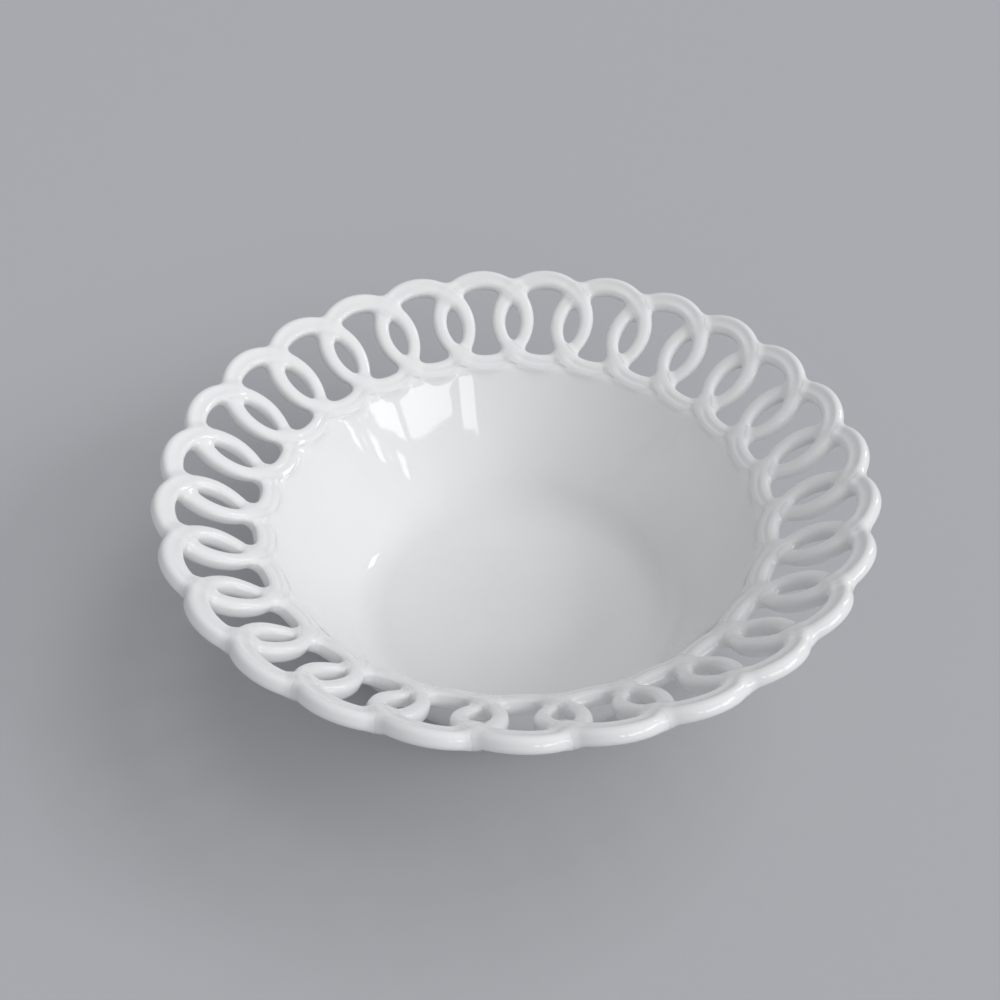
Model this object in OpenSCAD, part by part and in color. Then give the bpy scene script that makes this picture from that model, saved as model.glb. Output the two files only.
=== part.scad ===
// Round ceramic bowl with an openwork rim. The rim is a chain of flat rings, each laid over one
// neighbour and under the other. Their inner arcs lie on the flared lip of the thrown well,
// which stands on a turned foot ring.

/* [Rim] */
// Number of interlaced rings
ring_count = 27; // [24:1:30]
// Radius of the circle through the ring centres
rim_r = 110.4; // [100:0.1:125]
// Height of the ring centres above the table
rim_h = 74.3; // [60:0.1:90]
// Slope of the rim above level, in degrees
rim_slope = 33; // [20:0.5:45]

/* [Ring] */
// Outer radius of a ring
ring_r = 22.3; // [20:0.1:24.5]
// Mean width of a ring's strand
strand_w = 6.6; // [5:0.1:8]
// How far a ring's outline is shifted away from the well
ring_shift = 0.6; // [0:0.1:1.5]
// How far a ring's hole is shifted towards the well
hole_shift = 1; // [0:0.1:1.5]
// Thickness of a ring
ring_t = 6.2; // [5:0.1:6.8]
// Radius of a ring's rounded edges
ring_edge = 2.2; // [1:0.1:2.4]

/* [Well] */
// Slope of the wall above level, in degrees
wall_slope = 66.3; // [55:0.1:80]
// Radius of the bend between floor and wall
floor_bend = 21; // [10:0.5:35]
// Radius of the bend between wall and lip
lip_bend = 8; // [6.5:0.1:14]
// Width of the lip's straight part, between its bend and its rounded edge
lip_flat = 1.1; // [0.5:0.1:4]
// How far the lip stands above the middle of the rings
lip_rise = 1.2; // [0.6:0.1:1.8]
// How far the lip's edge stays behind the holes in the rings
lip_tuck = 0.5; // [0.2:0.1:1]
// Thickness of floor, wall and lip
wall_t = 5; // [4.6:0.1:6]

/* [Foot] */
// Height of the foot ring
foot_h = 6; // [4:0.5:10]
// Width of the foot ring
foot_w = 6; // [4:0.5:8]
// How far the foot ring stays inside the edge of the flat floor
foot_inset = 2; // [0.5:0.5:8]
// Radius of the foot ring's rounded lower edges
foot_edge = 1.5; // [0.5:0.1:1.9]

/* [Hidden] */
$fn = 96;
glaze = [0.94, 0.94, 0.93];
pitch = 360 / ring_count;

// The rounding of a ring's edges meets its flat faces this many degrees short of tangent
edge_crest = 14;
// Height of the rounding's centres above and below the middle of a ring
edge_z = ring_t / 2 - ring_edge * cos(edge_crest);
// Two neighbours share the plane that touches the rim midway between them, out at this radius
share_r = rim_r / cos(pitch / 2);
// Cutting shapes reach this far
reach = 2 * ring_r;
// Straight steps that round the floor's bend, the lip's bend and the lip's edge
floor_steps = 12;
lip_steps = 4;
edge_steps = 6;

// What each bend takes off the straight lengths that it joins
floor_cut = floor_bend * tan(wall_slope / 2);
lip_cut = lip_bend * tan((wall_slope - rim_slope) / 2);

// The lip as distances along the rim's slope, outward from the ring centres: its outer edge, the
// centre of that edge's rounding, and where its line meets the wall's line
hole_r = ring_r - strand_w;
lip_end = -hole_r - hole_shift - lip_tuck;
lip_round = lip_end - wall_t / 2;
lip_start = lip_round - lip_flat - lip_cut;

// Where the wall's line meets the lip and the floor, on the well's inner face
mouth_r = rim_r + lip_start * cos(rim_slope) - lip_rise * sin(rim_slope);
mouth_z = rim_h + lip_start * sin(rim_slope) + lip_rise * cos(rim_slope);
floor_z = foot_h + wall_t;
floor_r = mouth_r - (mouth_z - floor_z) / tan(wall_slope);
foot_r = floor_r - floor_cut - foot_inset;

function ring_name(k) = str("ring_", k < 10 ? "0" : "", k);

// A heading is an angle above level. The well's inner face is a list of points, each with the
// heading there, from the centre of the floor out along the lip.
function along(heading) = [cos(heading), sin(heading)];
function across(heading) = [-sin(heading), cos(heading)];
function steps(from, to, count) = [for (i = [0:count]) from + (to - from) * i / count];

// A point of the lip's upper face, at a distance along the rim's slope
function on_lip(y) = [mouth_r, mouth_z] + (y - lip_start) * along(rim_slope);

function inner_face() =
  let (floor_turn = [floor_r - floor_cut, floor_z + floor_bend],
       lip_turn = on_lip(lip_start + lip_cut) - lip_bend * across(rim_slope))
  concat(
    [[[0, floor_z], 0]],
    [for (a = steps(0, wall_slope, floor_steps)) [floor_turn - floor_bend * across(a), a]],
    [for (a = steps(wall_slope, rim_slope, lip_steps)) [lip_turn + lip_bend * across(a), a]],
    [[on_lip(lip_round), rim_slope]]);

function lip_edge() =
  let (centre = on_lip(lip_round) - wall_t / 2 * across(rim_slope))
  [for (a = steps(90, -90, edge_steps)) centre + wall_t / 2 * along(rim_slope + a)];

module bowl_body() {
  face = inner_face();
  underside = [for (i = [len(face) - 1:-1:0]) face[i][0] - wall_t * across(face[i][1])];
  color(glaze) rotate_extrude() polygon(concat([for (p = face) p[0]], lip_edge(), underside));
}

module foot_ring() {
  color(glaze) rotate_extrude() translate([foot_r - foot_w, 0]) {
    translate([0, foot_edge]) square([foot_w, foot_h - foot_edge]);
    translate([foot_edge, 0]) square([foot_w - 2 * foot_edge, foot_h]);
    for (x = [foot_edge, foot_w - foot_edge]) translate([x, foot_edge]) circle(foot_edge);
  }
}

// Places its children on the rim, X along it and Y up its slope, at position k of the chain
module at_ring(k, radius) {
  rotate([0, 0, -pitch * (k - 1)]) translate([0, radius, rim_h]) rotate([rim_slope, 0, 0]) children();
}

// Flat disc with rounded edges
module disc() {
  rotate_extrude() intersection() {
    union() {
      translate([0, -ring_t]) square([ring_r - ring_edge, 2 * ring_t]);
      translate([0, -edge_z]) square([ring_r, 2 * edge_z]);
      for (side = [-1, 1]) translate([ring_r - ring_edge, side * edge_z]) circle(ring_edge);
    }
    translate([0, -ring_t / 2]) square([reach, ring_t]);
  }
}

// What is taken out of a disc for its hole, which leaves rounded edges too
module hole() {
  rotate_extrude() difference() {
    translate([0, -ring_t]) square([hole_r + ring_edge, 2 * ring_t]);
    translate([hole_r, -edge_z]) square([2 * ring_edge, 2 * edge_z]);
    for (side = [-1, 1]) translate([hole_r + ring_edge, side * edge_z]) circle(ring_edge);
  }
}

// Outline of a ring, straight through its thickness
module outline() {
  translate([0, 0, -ring_t]) linear_extrude(2 * ring_t) difference() {
    translate([0, ring_shift]) circle(ring_r);
    translate([0, -hole_shift]) circle(hole_r);
  }
}

// The half of ring k's thickness that its neighbour fills where the two cross. The neighbour is
// the next ring (side 1) or the one before (side -1), and the crossing is on the outer (out 1)
// or the inner (out -1) side of the rim.
module lap(k, side, out) {
  intersection() {
    at_ring(k + side, rim_r) outline();
    at_ring(k + side / 2, share_r)
      translate([0, out * reach / 2, -side * out * reach / 2]) cube(reach, center = true);
  }
}

module ring(k) {
  color(glaze) difference() {
    at_ring(k, rim_r) difference() {
      translate([0, ring_shift, 0]) disc();
      translate([0, -hole_shift, 0]) hole();
    }
    for (side = [-1, 1], out = [-1, 1]) lap(k, side, out);
    bowl_body();
  }
}

bowl_body();
foot_ring();
for (k = [1:ring_count]) ring(k);
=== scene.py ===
"""The looks of an openwork bowl in white glaze.

A thrown well on a turned foot ring carries a flared rim of interlaced rings. Lengths are in
metres and angles in radians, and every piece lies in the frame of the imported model.
"""

from __future__ import annotations

import logging
import math
from dataclasses import dataclass
from enum import Enum
from typing import Callable

import bpy
from mathutils import Matrix, Quaternion, Vector
from mathutils.bvhtree import BVHTree

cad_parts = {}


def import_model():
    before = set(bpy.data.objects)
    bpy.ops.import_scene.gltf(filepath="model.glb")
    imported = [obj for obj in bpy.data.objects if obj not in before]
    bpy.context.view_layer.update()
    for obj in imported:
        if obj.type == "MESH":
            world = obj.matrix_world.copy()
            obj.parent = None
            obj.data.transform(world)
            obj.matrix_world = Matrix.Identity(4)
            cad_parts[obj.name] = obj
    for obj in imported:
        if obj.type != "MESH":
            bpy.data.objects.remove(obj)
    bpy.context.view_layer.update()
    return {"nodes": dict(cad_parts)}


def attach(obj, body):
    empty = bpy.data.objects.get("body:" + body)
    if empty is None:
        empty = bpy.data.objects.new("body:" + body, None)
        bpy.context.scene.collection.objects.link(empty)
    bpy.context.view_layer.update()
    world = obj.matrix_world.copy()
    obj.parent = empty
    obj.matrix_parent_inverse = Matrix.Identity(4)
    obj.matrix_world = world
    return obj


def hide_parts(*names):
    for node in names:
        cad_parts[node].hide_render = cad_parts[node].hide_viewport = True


LOG = logging.getLogger("openwork_bowl")
BODY = "root"
# Name of the attribute that masks the painted shade in the creases between pieces
CREASE_SHADE = "painted_crease_shade"
# How fast the painted shade of a crease fades away from its groove
CREASE_SHADE_POWER = 3.0
GLAZE_IOR = 1.52
# Scales of the glaze's noises, per metre: clouds, gloss, slow waves and fine grain
CLOUD_SCALE = 28.0
GLOSS_SCALE = 95.0
WAVE_SCALE = 32.0
GRAIN_SCALE = 260.0
GRAIN_SHARE = 0.05
BUMP_DISTANCE = 0.001
# Distance at which a spun profile's points are merged
MERGE_DISTANCE = 0.00001

Point = tuple[float, float]
Colour = tuple[float, float, float, float]


class Slot(Enum):
    """Finishes that the record names."""

    WELL = "well_glaze"
    RIM = "rim_glaze"
    FOOT = "foot_glaze"


def smooth_step(low: float, high: float, value: float) -> float:
    """Eases from 0 at low to 1 at high.

    Args:
        low: Value at which the result leaves 0.
        high: Value at which the result reaches 1.
        value: Value to ease.

    Returns:
        A share from 0 to 1.
    """
    share = min(1.0, max(0.0, (value - low) / (high - low)))
    return share * share * (3.0 - 2.0 * share)


def dent(value: float, middle: float, width: float) -> float:
    """A soft hollow: 1 in the middle, and 0 from the width outwards."""
    return max(0.0, 1.0 - ((value - middle) / width) ** 2) ** 2


def rounded(value: float, power: float) -> float:
    """Raises a sine or cosine to a power and keeps its sign, which squares off a circle."""
    return math.copysign(abs(value) ** power, value)


def activate(piece: bpy.types.Object) -> None:
    """Selects one object alone and makes it the active one."""
    bpy.ops.object.select_all(action="DESELECT")
    piece.select_set(True)
    bpy.context.view_layer.objects.active = piece


@dataclass(frozen=True)
class Rim:
    """Where the rings stand round the rim."""

    count: int
    radius: float = 0.1104
    height: float = 0.0743
    slope: float = math.radians(33.0)

    @property
    def pitch(self) -> float:
        """Angle from one ring to the next."""
        return 2.0 * math.pi / self.count

    def place(self, position: float) -> Matrix:
        """Frame of a ring, X along the rim and Y up its slope.

        Args:
            position: Steps round the rim, clockwise from above, from the ring on +Y.

        Returns:
            The matrix that puts a ring drawn flat at the origin on the rim.
        """
        turn = Matrix.Rotation(-self.pitch * position, 4, "Z")
        stand = Matrix.Translation((0.0, self.radius, self.height))
        return turn @ stand @ Matrix.Rotation(self.slope, 4, "X")


@dataclass(frozen=True)
class RingForm:
    """One ring of the rim, which rises over one neighbour and dips under the other.

    Its outer arc has a hollow between two soft ridges. Its inner arc is lower and spreads over
    the lip, with a groove between its ridge and its edge that stays clear of the crossings.
    Each pair of heights says from where to where an arc takes its form, as a share of the
    ring's radius above the middle, or below it for the inner arc.
    """

    radius: float = 0.0223
    strand: float = 0.0066
    outer_shift: float = 0.0006
    hole_shift: float = 0.001
    thickness: float = 0.0062
    weave: float = 0.00045
    waist: float = 0.0005
    crown_hollow: float = 0.0005
    lip_spread: float = 0.0023
    lip_fall: float = 0.0005
    lip_groove: float = 0.0007
    lip_height: float = 0.66
    crown_span: tuple[float, float] = (0.35, 0.9)
    lip_span: tuple[float, float] = (0.58, 0.97)
    clear_span: tuple[float, float] = (0.85, 0.96)
    sink_span: tuple[float, float] = (0.0, 0.85)
    squareness: float = 0.82
    crown_squareness: float = 0.12
    edge_squareness: float = 0.2
    turns: int = 208
    sides: int = 56

    @property
    def hole_radius(self) -> float:
        """Radius of the ring's hole."""
        return self.radius - self.strand

    def point(self, turn: float, side: float) -> Vector:
        """A point on the ring's skin.

        Args:
            turn: Angle round the ring, a quarter turn at its outermost place.
            side: Angle round the strand, a quarter turn at its crest.

        Returns:
            The point in the ring's own frame.
        """
        up, along = math.sin(turn), math.cos(turn)
        crown, lip = smooth_step(*self.crown_span, up), smooth_step(*self.lip_span, -up)
        clear = smooth_step(*self.clear_span, -up)
        outer = self.outer_shift * up + math.sqrt(self.radius**2 - (self.outer_shift * along) ** 2)
        outer += self.lip_spread * lip - self.waist / 2.0 * along**2
        inner = math.sqrt(self.hole_radius**2 - (self.hole_shift * along) ** 2)
        inner -= self.hole_shift * up
        inner += self.waist / 2.0 * along**2
        power = self.squareness - self.crown_squareness * crown - self.edge_squareness * clear
        across = rounded(math.cos(side), power)
        face = smooth_step(0.0, 0.5, math.sin(side))
        sink = (1.0 - self.lip_height) * smooth_step(*self.sink_span, -up)
        height = rounded(math.sin(side), power) * self.thickness / 2.0 * (1.0 - sink * face)
        fall = self.crown_hollow * crown * dent(across, 0.0, 0.6)
        fall += self.lip_groove * clear * dent(across, 0.02, 0.34)
        fall += self.lip_fall * clear * smooth_step(-0.2, 0.95, across)
        reach = (outer + inner) / 2.0 + (outer - inner) / 2.0 * across
        lift = self.weave * math.sin(2.0 * turn)
        return Vector((reach * along, reach * up, height - fall * face + lift))

    def model(self, name: str) -> bpy.types.Object:
        """Shapes a torus into the ring, flat at the origin.

        Args:
            name: Name of the new object.

        Returns:
            The ring's object.
        """
        bpy.ops.object.select_all(action="DESELECT")
        core = self.radius - self.strand / 2.0
        bpy.ops.mesh.primitive_torus_add(
            major_segments=self.turns,
            minor_segments=self.sides,
            major_radius=core,
            minor_radius=self.strand / 2.0,
        )
        ring = bpy.context.object
        ring.name = name
        for vertex in ring.data.vertices:
            x, y, z = vertex.co
            vertex.co = self.point(math.atan2(y, x), math.atan2(z, math.hypot(x, y) - core))
        ring.data.update()
        bpy.ops.object.shade_smooth()
        return ring


def arc(centre: Point, radius: float, start: float, end: float, steps: int) -> list[Point]:
    """Points along an arc of a profile, both ends included.

    Args:
        centre: Centre of the arc, as radius from the bowl's axis and height.
        radius: Radius of the arc.
        start: Angle of the first point.
        end: Angle of the last point.
        steps: Number of steps between them.

    Returns:
        The points in order.
    """
    angles = [start + (end - start) * i / steps for i in range(steps + 1)]
    return [(centre[0] + radius * math.cos(a), centre[1] + radius * math.sin(a)) for a in angles]


def straight(start: Point, end: Point, steps: int) -> list[Point]:
    """Points between two points of a profile, without the two ends."""
    shares = [i / steps for i in range(1, steps)]
    return [tuple(a + (b - a) * s for a, b in zip(start, end)) for s in shares]


def shifted(point: Point, heading: float, along: float, across: float) -> Point:
    """Moves a profile point along a heading and square to it, to the left."""
    step_r = along * math.cos(heading) - across * math.sin(heading)
    step_z = along * math.sin(heading) + across * math.cos(heading)
    return point[0] + step_r, point[1] + step_z


def spin(name: str, profile: list[Point], steps: int) -> bpy.types.Object:
    """Spins a closed profile round the bowl's axis.

    Args:
        name: Name of the new object.
        profile: Points as radius and height, clockwise seen with the axis on the left.
        steps: Number of steps round the axis.

    Returns:
        The spun object, with its doubles merged and its faces outwards.
    """
    mesh = bpy.data.meshes.new(name)
    edges = [(i, (i + 1) % len(profile)) for i in range(len(profile))]
    mesh.from_pydata([(r, 0.0, z) for r, z in profile], edges, [])
    piece = bpy.data.objects.new(name, mesh)
    bpy.context.scene.collection.objects.link(piece)
    activate(piece)
    bpy.ops.object.mode_set(mode="EDIT")
    bpy.ops.mesh.select_all(action="SELECT")
    bpy.ops.mesh.spin(steps=steps, angle=2.0 * math.pi, center=(0, 0, 0), axis=(0, 0, 1))
    bpy.ops.mesh.select_all(action="SELECT")
    bpy.ops.mesh.remove_doubles(threshold=MERGE_DISTANCE)
    bpy.ops.mesh.normals_make_consistent(inside=False)
    bpy.ops.object.mode_set(mode="OBJECT")
    bpy.ops.object.shade_smooth()
    return piece


@dataclass(frozen=True)
class Well:
    """The thrown well: floor, wall and flared lip, all of one thickness."""

    rim: Rim
    ring: RingForm
    wall_top: float = math.radians(64.0)
    wall_foot: float = math.radians(58.5)
    floor_bend: float = 0.016
    lip_bend: float = 0.008
    lip_flat: float = 0.0011
    lip_rise: float = 0.0012
    lip_tuck: float = 0.0005
    thickness: float = 0.005
    foot_height: float = 0.006
    steps_per_ring: int = 24

    @property
    def floor_height(self) -> float:
        """Height of the floor's upper face."""
        return self.foot_height + self.thickness

    def on_lip(self, distance: float) -> Point:
        """A point of the lip's upper face, at a distance up the slope from the ring centres."""
        return shifted((self.rim.radius, self.rim.height), self.rim.slope, distance, self.lip_rise)

    @property
    def lip_round(self) -> float:
        """Distance up the slope at which the lip's rounded edge starts."""
        edge = -self.ring.hole_radius - self.ring.hole_shift - self.lip_tuck
        return edge - self.thickness / 2.0

    def profile(self) -> list[Point]:
        """The well's outline, out along its inner face and back along its underside.

        The wall is one wide arc, steepest under the lip, that runs into the floor's bend.
        """
        quarter, thick, slope = math.pi / 2.0, self.thickness, self.rim.slope
        top, foot = self.wall_top, self.wall_foot
        bend = shifted(self.on_lip(self.lip_round - self.lip_flat), slope, 0.0, -self.lip_bend)
        edge = shifted(self.on_lip(self.lip_round), slope, 0.0, -thick / 2.0)
        lip_in = arc(bend, self.lip_bend, top + quarter, slope + quarter, 12)
        foot_height = self.floor_height + self.floor_bend * (1.0 - math.cos(foot))
        sweep = (lip_in[0][1] - foot_height) / (math.cos(foot) - math.cos(top))
        belly = shifted(lip_in[0], top, 0.0, sweep)
        flat = belly[0] + (sweep - self.floor_bend) * math.sin(foot)
        turn = (flat, self.floor_height + self.floor_bend)
        floor_in = arc(turn, self.floor_bend, -quarter, foot - quarter, 22)
        wall_in = arc(belly, sweep, foot - quarter, top - quarter, 22)
        tip = arc(edge, thick / 2.0, slope + quarter, slope - quarter, 14)
        lip_out = arc(bend, self.lip_bend - thick, slope + quarter, top + quarter, 8)
        wall_out = arc(belly, sweep + thick, top - quarter, foot - quarter, 18)
        floor_out = arc(turn, self.floor_bend + thick, foot - quarter, -quarter, 16)
        start, end = (0.0, self.floor_height), (0.0, self.foot_height)
        outline = [start, *straight(start, floor_in[0], 10), *floor_in, *wall_in[1:-1], *lip_in]
        outline += [*straight(lip_in[-1], tip[0], 3), *tip, *straight(tip[-1], lip_out[0], 3)]
        outline += [*lip_out, *wall_out[1:-1], *floor_out]
        return [*outline, *straight(floor_out[-1], end, 8), end]

    def model(self) -> bpy.types.Object:
        """Spins the well, with a whole number of steps for each ring of the rim."""
        return spin("well", self.profile(), self.rim.count * self.steps_per_ring)


@dataclass(frozen=True)
class Foot:
    """The turned foot ring, with a soft run of glaze where it meets the floor."""

    well: Well
    outer: float = 0.0519
    width: float = 0.006
    edge: float = 0.0015
    run: float = 0.0012

    def model(self) -> bpy.types.Object:
        """Spins the foot ring from its rounded section."""
        outer, inner, top = self.outer, self.outer - self.width, self.well.foot_height
        quarter = math.pi / 2.0
        section = arc((outer + self.run, top - self.run), self.run, quarter, 2.0 * quarter, 6)
        section += arc((outer - self.edge, self.edge), self.edge, 0.0, -quarter, 6)
        section += arc((inner + self.edge, self.edge), self.edge, -quarter, -2.0 * quarter, 6)
        section += arc((inner - self.run, top - self.run), self.run, 0.0, quarter, 6)
        return spin("foot", section, 216)


@dataclass(frozen=True)
class Neighbour:
    """The skin of a piece that another meets, and how far the glaze between the two reaches."""

    skin: BVHTree
    reach: float
    steepest: float = 0.5

    def glaze(self, point: Vector, normal: Vector) -> tuple[float, float]:
        """How the glaze in the groove between the two pieces lies at a point.

        It fills more where the skins meet at a sharper angle, so that they join smoothly.

        Args:
            point: A point on the other piece's skin.
            normal: The skin's normal there.

        Returns:
            The depth as a share of the depth right in the groove, and as a length.
        """
        _, facing, _, distance = self.skin.find_nearest(point, self.reach)
        if distance is None:
            return 0.0, 0.0
        share = (1.0 - distance / self.reach) ** 2
        fill = 0.5 / max(0.01, 1.0 + normal.dot(facing))
        return share, share * self.reach * min(self.steepest, fill)


@dataclass(frozen=True)
class GlazeFlow:
    """Glaze that gathers in the grooves between pieces and rounds them off."""

    ring_reach: float = 0.0032
    lip_reach: float = 0.002
    deepest: float = 0.0016

    def settle(
        self,
        piece: bpy.types.Object,
        neighbours: list[Neighbour],
        fold: Callable[[Vector], Matrix],
        holds: Callable[[Vector], bool],
    ) -> None:
        """Raises a piece's skin by the glaze on it and keeps the depth as an attribute, which
        paints shade into the creases.

        Args:
            piece: The piece to coat.
            neighbours: The pieces that it meets.
            fold: Gives the turn round the axis that takes a point to where the neighbours are.
            holds: Says whether glaze can gather at a point at all.
        """
        vertices = piece.data.vertices
        normals = [vertex.normal.copy() for vertex in vertices]
        # This attribute darkens the glaze in the creases between pieces: painted shade
        shade_mask = piece.data.attributes.new(CREASE_SHADE, "FLOAT", "POINT")
        for vertex, normal in zip(vertices, normals):
            if not holds(vertex.co):
                continue
            turn = fold(vertex.co)
            place, facing = turn @ vertex.co, turn @ normal
            layers = [neighbour.glaze(place, facing) for neighbour in neighbours]
            # Share of painted shade at this point, highest right in the crease
            shade_mask.data[vertex.index].value = min(1.0, sum(share for share, _ in layers))
            vertex.co += normal * min(self.deepest, sum(rise for _, rise in layers))
        piece.data.update()


def skin_of(piece: bpy.types.Object, place: Matrix) -> BVHTree:
    """Search tree over a piece's skin, after it is put in a place."""
    points = [place @ vertex.co for vertex in piece.data.vertices]
    return BVHTree.FromPolygons(points, [tuple(face.vertices) for face in piece.data.polygons])


@dataclass(frozen=True)
class GlazeFinish:
    """A finish of the glaze: its colour, the painted shade in its creases, its gloss and how it
    lies.
    """

    name: str
    colour: Colour
    # Darker tint painted into the creases between pieces as shade
    crease_shade_colour: Colour
    roughness: float
    ripple: float

    def build(self, group: bpy.types.NodeTree) -> bpy.types.Material:
        """Makes the material from the shared glaze group.

        Args:
            group: The node group that gives colour, roughness and normal.

        Returns:
            The new material.
        """
        material = bpy.data.materials.new(self.name)
        material.use_nodes = True
        nodes, links = material.node_tree.nodes, material.node_tree.links
        shader = nodes["Principled BSDF"]
        shader.inputs["IOR"].default_value = GLAZE_IOR
        skin = nodes.new("ShaderNodeGroup")
        skin.node_tree = group
        skin.inputs["Colour"].default_value = self.colour
        skin.inputs["Crease Shade Colour"].default_value = self.crease_shade_colour
        skin.inputs["Roughness"].default_value = self.roughness
        skin.inputs["Ripple"].default_value = self.ripple
        links.new(skin.outputs["Colour"], shader.inputs["Base Color"])
        links.new(skin.outputs["Roughness"], shader.inputs["Roughness"])
        links.new(skin.outputs["Normal"], shader.inputs["Normal"])
        return material


def glaze_group() -> bpy.types.NodeTree:
    """Node group of the glaze: cloudy white, with painted shade in its creases and a slow ripple
    in its gloss.

    Returns:
        The group, with Colour, Roughness and Normal outputs.
    """
    group = bpy.data.node_groups.new("glaze_skin", "ShaderNodeTree")
    sockets = {
        "Colour": "NodeSocketColor",
        "Crease Shade Colour": "NodeSocketColor",
        "Roughness": "NodeSocketFloat",
        "Ripple": "NodeSocketFloat",
    }
    for name, kind in sockets.items():
        group.interface.new_socket(name, in_out="INPUT", socket_type=kind)
    group.interface.new_socket("Colour", in_out="OUTPUT", socket_type="NodeSocketColor")
    group.interface.new_socket("Roughness", in_out="OUTPUT", socket_type="NodeSocketFloat")
    group.interface.new_socket("Normal", in_out="OUTPUT", socket_type="NodeSocketVector")
    nodes, links = group.nodes, group.links
    entry, leave = nodes.new("NodeGroupInput"), nodes.new("NodeGroupOutput")
    place = nodes.new("ShaderNodeTexCoord").outputs["Object"]

    def noise(scale: float, detail: float) -> bpy.types.NodeSocket:
        """Adds a noise texture over the object's own coordinates."""
        texture = nodes.new("ShaderNodeTexNoise")
        texture.inputs["Scale"].default_value = scale
        texture.inputs["Detail"].default_value = detail
        links.new(place, texture.inputs["Vector"])
        return texture.outputs["Fac"]

    def mapped(value: bpy.types.NodeSocket, low: float, high: float) -> bpy.types.NodeSocket:
        """Maps a noise value's middle stretch to a range."""
        node = nodes.new("ShaderNodeMapRange")
        node.inputs["From Min"].default_value = 0.3
        node.inputs["From Max"].default_value = 0.7
        node.inputs["To Min"].default_value = low
        node.inputs["To Max"].default_value = high
        links.new(value, node.inputs["Value"])
        return node.outputs["Result"]

    def math_node(kind: str, first: bpy.types.NodeSocket, second: object) -> bpy.types.NodeSocket:
        """Adds a maths node; second is a socket or a number."""
        node = nodes.new("ShaderNodeMath")
        node.operation = kind
        links.new(first, node.inputs[0])
        if isinstance(second, bpy.types.NodeSocket):
            links.new(second, node.inputs[1])
        else:
            node.inputs[1].default_value = second
        return node.outputs[0]

    # Painted shade: the white is darkened towards the crease colour where the creases between
    # pieces are
    shade_mask = nodes.new("ShaderNodeAttribute")
    shade_mask.attribute_name = CREASE_SHADE
    blend = nodes.new("ShaderNodeMix")
    blend.data_type = "RGBA"
    links.new(math_node("POWER", shade_mask.outputs["Fac"], CREASE_SHADE_POWER), blend.inputs["Factor"])
    links.new(entry.outputs["Colour"], blend.inputs["A"])
    links.new(entry.outputs["Crease Shade Colour"], blend.inputs["B"])
    cloud = nodes.new("ShaderNodeHueSaturation")
    links.new(blend.outputs["Result"], cloud.inputs["Color"])
    links.new(mapped(noise(CLOUD_SCALE, 3.0), 0.985, 1.01), cloud.inputs["Value"])
    links.new(cloud.outputs["Color"], leave.inputs["Colour"])

    uneven = mapped(noise(GLOSS_SCALE, 4.0), 0.75, 1.35)
    links.new(math_node("MULTIPLY", entry.outputs["Roughness"], uneven), leave.inputs["Roughness"])

    bump = nodes.new("ShaderNodeBump")
    bump.inputs["Distance"].default_value = BUMP_DISTANCE
    fine = math_node("MULTIPLY", noise(GRAIN_SCALE, 2.0), GRAIN_SHARE)
    links.new(math_node("ADD", noise(WAVE_SCALE, 1.0), fine), bump.inputs["Height"])
    links.new(entry.outputs["Ripple"], bump.inputs["Strength"])
    links.new(bump.outputs["Normal"], leave.inputs["Normal"])
    return group


@dataclass
class Bowl:
    """The whole bowl: its pieces, and the finish on each."""

    rim: Rim
    ring: RingForm
    well: Well
    foot: Foot
    flow: GlazeFlow

    def dress(
        self, piece: bpy.types.Object, slot: Slot, finish: bpy.types.Material, *nodes: str
    ) -> None:
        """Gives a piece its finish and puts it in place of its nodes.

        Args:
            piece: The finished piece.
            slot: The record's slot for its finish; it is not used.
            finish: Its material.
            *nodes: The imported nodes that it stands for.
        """
        piece.data.materials.clear()
        piece.data.materials.append(finish)
        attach(piece, BODY)
        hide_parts(*nodes)
        LOG.info("%s: %d faces", piece.name, len(piece.data.polygons))

    def fold(self, point: Vector) -> Matrix:
        """The turn by whole rings that takes a point to beside the ring on +Y."""
        turn = math.atan2(point.x, point.y) / self.rim.pitch
        return Matrix.Rotation(round(turn) * self.rim.pitch, 3, "Z")

    def build(self, finishes: dict[Slot, bpy.types.Material]) -> None:
        """Models every piece and dresses it.

        Args:
            finishes: The material for each slot.
        """
        flat_ring = self.ring.model("ring_form")
        well = self.well.model()
        skins = [skin_of(flat_ring, self.rim.place(position)) for position in (-1, 0, 1)]
        well_skin = skin_of(well, Matrix.Identity(4))
        on_lip = [Neighbour(skin, self.flow.lip_reach) for skin in skins]
        lowest = self.well.on_lip(-self.ring.radius)[1] - self.well.thickness - self.ring.thickness
        self.flow.settle(well, on_lip, self.fold, lambda point: point.z > lowest)
        self.dress(well, Slot.WELL, finishes[Slot.WELL], "bowl_body")
        self.dress(self.foot.model(), Slot.FOOT, finishes[Slot.FOOT], "foot_ring")

        flat_ring.data.transform(self.rim.place(0))
        flat_ring.data.update()
        around = [Neighbour(skin, self.flow.ring_reach) for skin in (skins[0], skins[2])]
        around.append(Neighbour(well_skin, self.flow.lip_reach))
        self.flow.settle(flat_ring, around, lambda point: Matrix.Identity(3), lambda point: True)
        for number in range(1, self.rim.count + 1):
            ring = flat_ring.copy()
            ring.data = flat_ring.data.copy()
            ring.name = f"rim_ring_{number:02d}"
            ring.data.transform(Matrix.Rotation(-self.rim.pitch * (number - 1), 4, "Z"))
            bpy.context.scene.collection.objects.link(ring)
            self.dress(ring, Slot.RIM, finishes[Slot.RIM], f"ring_{number:02d}")
        bpy.data.objects.remove(flat_ring)


@dataclass(frozen=True)
class Lamp:
    """A rectangular lamp that faces the bowl.

    Its direction is given in degrees: turned counterclockwise, seen from above, from straight
    right of the camera, and raised above level. One that is seen is mirrored in the glaze and
    adds no soft light, and the others do the reverse. A pane seen at a slant is rolled.
    """

    name: str
    turn: float
    rise: float
    width: float
    height: float
    power: float
    distance: float = 30.0
    seen: bool = False
    roll: float = 0.0


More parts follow.
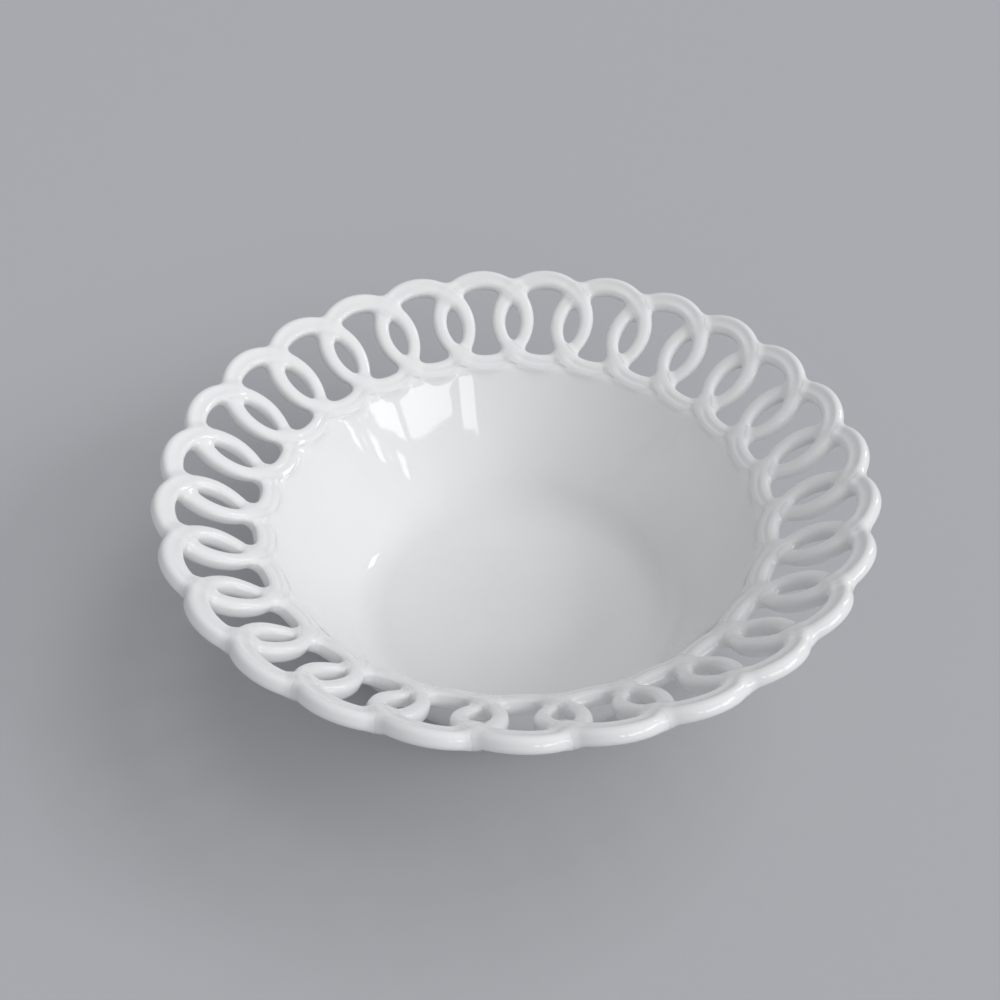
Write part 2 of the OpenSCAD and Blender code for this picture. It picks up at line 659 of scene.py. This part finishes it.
@dataclass(frozen=True)
class Studio:
    """Floor, window light and camera, as in the photograph."""

    target: Vector
    view_turn: float = math.radians(5.89)
    view_rise: float = math.radians(40.86)
    view_distance: float = 0.4737
    lens: float = 46.1
    aim_right_px: float = 16.2
    aim_up_px: float = 15.0
    frame_px: float = 1000.0
    floor_size: float = 60.0
    floor_colour: Colour = (0.465, 0.468, 0.482, 1.0)
    floor_roughness: float = 0.9
    lamp_colour: tuple[float, float, float] = (0.97, 0.985, 1.0)
    sky_colour: Colour = (0.78, 0.8, 0.84, 1.0)
    sky_strength: float = 0.545

    def direction(self, turn: float, rise: float) -> Vector:
        """Direction from the bowl, turned from straight right of the camera and raised."""
        heading = self.view_turn + turn
        level = math.cos(rise)
        return Vector((level * math.cos(heading), level * math.sin(heading), math.sin(rise)))

    def lay_floor(self) -> None:
        """Lays a plain matt floor under the bowl."""
        bpy.ops.object.select_all(action="DESELECT")
        bpy.ops.mesh.primitive_plane_add(size=self.floor_size)
        floor = bpy.context.object
        floor.name = "floor"
        material = bpy.data.materials.new("floor")
        material.use_nodes = True
        shader = material.node_tree.nodes["Principled BSDF"]
        shader.inputs["Base Color"].default_value = self.floor_colour
        shader.inputs["Roughness"].default_value = self.floor_roughness
        shader.inputs["Specular IOR Level"].default_value = 0.0
        floor.data.materials.append(material)

    def hang(self, lamp: Lamp) -> bpy.types.Object:
        """Hangs a lamp so that it faces the bowl.

        Args:
            lamp: The lamp to make.

        Returns:
            Its object.
        """
        data = bpy.data.lights.new(lamp.name, "AREA")
        data.shape = "RECTANGLE"
        data.size, data.size_y = lamp.width, lamp.height
        data.energy = lamp.power
        data.color = self.lamp_colour
        piece = bpy.data.objects.new(lamp.name, data)
        away = self.direction(math.radians(lamp.turn), math.radians(lamp.rise))
        piece.location = self.target + away * lamp.distance
        roll = Quaternion((0.0, 0.0, 1.0), math.radians(lamp.roll))
        piece.rotation_euler = (away.to_track_quat("Z", "Y") @ roll).to_euler()
        piece.visible_glossy = lamp.seen
        piece.visible_diffuse = not lamp.seen
        bpy.context.scene.collection.objects.link(piece)
        return piece

    def light(self) -> None:
        """Lights the bowl with soft light and the panes of a window that its glaze mirrors."""
        for lamp in LAMPS:
            self.hang(lamp)
        world = bpy.data.worlds.new("room")
        world.use_nodes = True
        sky = world.node_tree.nodes["Background"]
        sky.inputs["Color"].default_value = self.sky_colour
        sky.inputs["Strength"].default_value = self.sky_strength
        bpy.context.scene.world = world

    def set_camera(self) -> None:
        """Sets the camera at the photograph's angle, distance and framing."""
        data = bpy.data.cameras.new("camera")
        data.lens = self.lens
        data.shift_x = -self.aim_right_px / self.frame_px
        data.shift_y = -self.aim_up_px / self.frame_px
        data.clip_start = 0.01
        camera = bpy.data.objects.new("camera", data)
        away = self.direction(-math.pi / 2.0, self.view_rise)
        camera.location = self.target + away * self.view_distance
        camera.rotation_euler = away.to_track_quat("Z", "Y").to_euler()
        bpy.context.scene.collection.objects.link(camera)
        bpy.context.scene.camera = camera


# Distance of the window panes; the soft lamps stand far off, so that they light evenly
WINDOW_DISTANCE = 3.0
LAMPS = (
    Lamp("key", -10.0, 31.0, 15.0, 11.0, 2620.0),
    Lamp("key_side", -40.0, 31.0, 15.0, 11.0, 1400.0),
    Lamp("front_fill", -75.0, 31.0, 15.0, 11.0, 1150.0),
    Lamp("overhead", 25.0, 62.0, 15.0, 11.0, 1640.0),
    Lamp("pane_left", -66.3, 14.8, 0.36, 0.36, 1.6, WINDOW_DISTANCE, seen=True, roll=-7.5),
    Lamp("pane_middle", -46.0, 10.4, 1.26, 0.47, 7.0, WINDOW_DISTANCE, seen=True, roll=-7.5),
    Lamp("pane_right", -18.0, 7.5, 1.36, 0.68, 12.0, WINDOW_DISTANCE, seen=True, roll=-4.0),
    Lamp("side_window", 28.0, 20.0, 0.42, 1.4, 9.0, WINDOW_DISTANCE, seen=True),
)


def main() -> None:
    """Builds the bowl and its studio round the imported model."""
    logging.basicConfig(level=logging.INFO, format="%(name)s: %(message)s")
    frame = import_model()
    rim = Rim(count=sum(name.startswith("ring_") for name in frame["nodes"]))
    studio = Studio(target=Vector((0.0, 0.0, rim.height)))
    studio.set_camera()
    studio.lay_floor()
    studio.light()
    bpy.context.scene.view_settings.view_transform = "Standard"

    group = glaze_group()
    # The second colour is the white darkened: painted shade for the creases between pieces
    white, groove = (0.8, 0.8, 0.79, 1.0), (0.765, 0.757, 0.735, 1.0)
    finishes = {
        Slot.WELL: GlazeFinish("well_glaze", white, groove, 0.035, 0.16).build(group),
        Slot.RIM: GlazeFinish("rim_glaze", white, groove, 0.045, 0.2).build(group),
        Slot.FOOT: GlazeFinish("foot_glaze", white, groove, 0.14, 0.35).build(group),
    }
    ring = RingForm()
    well = Well(rim, ring)
    Bowl(rim, ring, well, Foot(well), GlazeFlow()).build(finishes)


if __name__ == "__main__":
    main()
